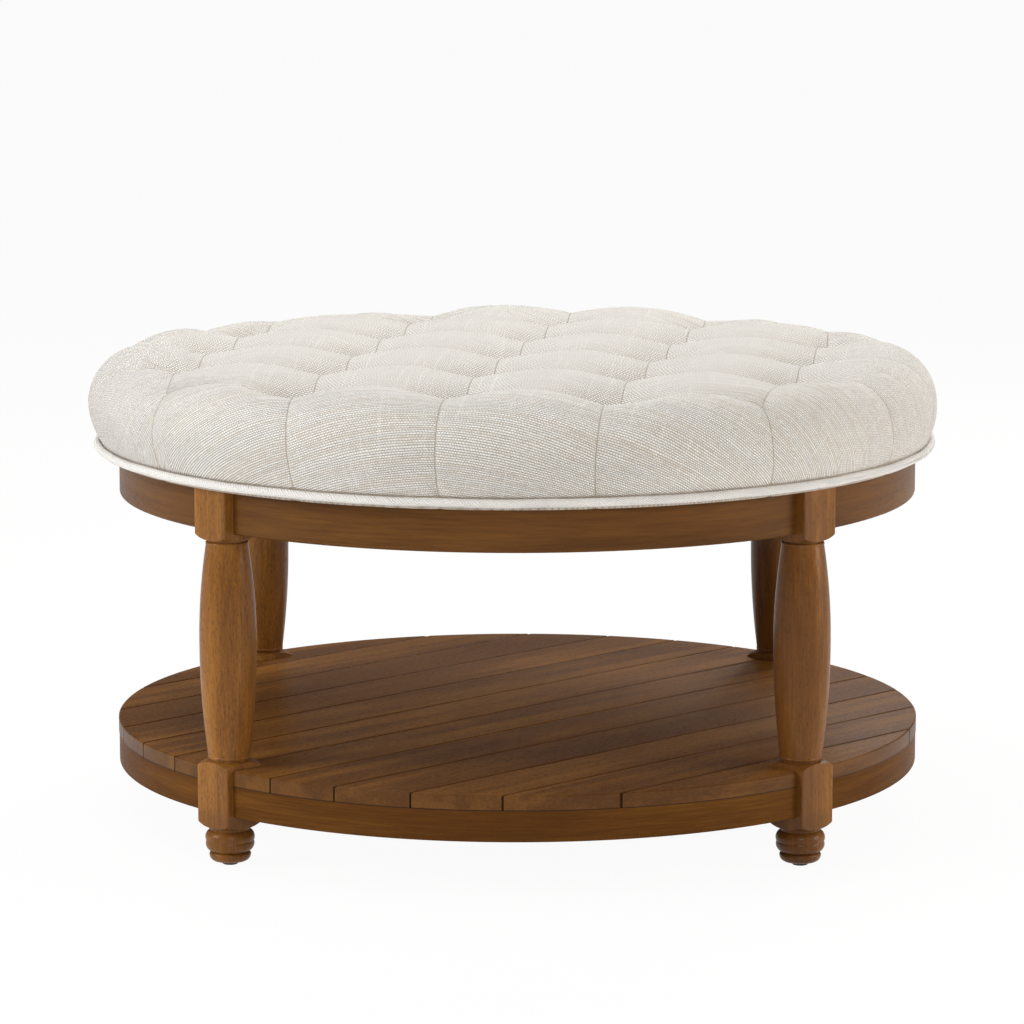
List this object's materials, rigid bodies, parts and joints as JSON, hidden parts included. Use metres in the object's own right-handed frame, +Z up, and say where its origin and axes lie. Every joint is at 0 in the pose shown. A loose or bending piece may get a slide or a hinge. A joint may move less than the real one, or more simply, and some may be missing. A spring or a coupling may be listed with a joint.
{
  "type": "tufted ottoman coffee table",
  "caption": "Round tufted fabric-topped ottoman table on turned wooden legs, with a curved apron and a round boarded shelf near the floor.",
  "frame": {"origin": "on the floor under the middle of the table", "axes": "+Z up out of the cushion; -Y is the front, midway between two legs, as the picture shows it"},
  "size_m": [0.902, 0.902, 0.497],
  "materials": {
    "stained_wood": "satin brown stain",
    "linen_fabric": "slubby off-white linen weave",
    "foam": "open-cell foam, matt",
    "twine": "waxed twine",
    "plywood": "raw birch plywood",
    "dust_cloth": "black non-woven cloth",
    "black_plastic": "moulded, matt",
    "zinc_steel": "zinc-plated",
    "dowel_wood": "raw beech",
    "frame_wood": "thin brown stain"
  },
  "bodies": {
    "root": {"apron_dowels": "dowel_wood", "back_apron_rail": "stained_wood", "back_left_apron_brace": "frame_wood", "back_left_glide": "black_plastic", "back_left_leg": "stained_wood", "back_left_shelf_brace": "frame_wood", "back_right_apron_brace": "frame_wood", "back_right_glide": "black_plastic", "back_right_leg": "stained_wood", "back_right_shelf_brace": "frame_wood", "back_shelf_rail": "stained_wood", "bolt_washers": "zinc_steel", "cushion_cover": "linen_fabric", "dust_cover": "dust_cloth", "foam_pad": "foam", "front_apron_rail": "stained_wood", "front_left_apron_brace": "frame_wood", "front_left_glide": "black_plastic", "front_left_leg": "stained_wood", "front_left_shelf_brace": "frame_wood", "front_right_apron_brace": "frame_wood", "front_right_glide": "black_plastic", "front_right_leg": "stained_wood", "front_right_shelf_brace": "frame_wood", "front_shelf_batten": "frame_wood", "front_shelf_rail": "stained_wood", "hanger_bolts": "zinc_steel", "hex_nuts": "zinc_steel", "left_apron_rail": "stained_wood", "left_shelf_rail": "stained_wood", "rear_shelf_batten": "frame_wood", "right_apron_rail": "stained_wood", "right_shelf_rail": "stained_wood", "seat_board": "plywood", "seat_board_screws": "zinc_steel", "shelf_board_01": "stained_wood", "shelf_board_02": "stained_wood", "shelf_board_03": "stained_wood", "shelf_board_04": "stained_wood", "shelf_board_05": "stained_wood", "shelf_board_06": "stained_wood", "shelf_board_07": "stained_wood", "shelf_board_08": "stained_wood", "shelf_board_09": "stained_wood", "shelf_board_10": "stained_wood", "shelf_board_11": "stained_wood", "shelf_board_12": "stained_wood", "shelf_board_screws": "zinc_steel", "shelf_dowels": "dowel_wood", "tufting_twines": "twine", "welt_cord": "linen_fabric"}
  },
  "joints": []
}
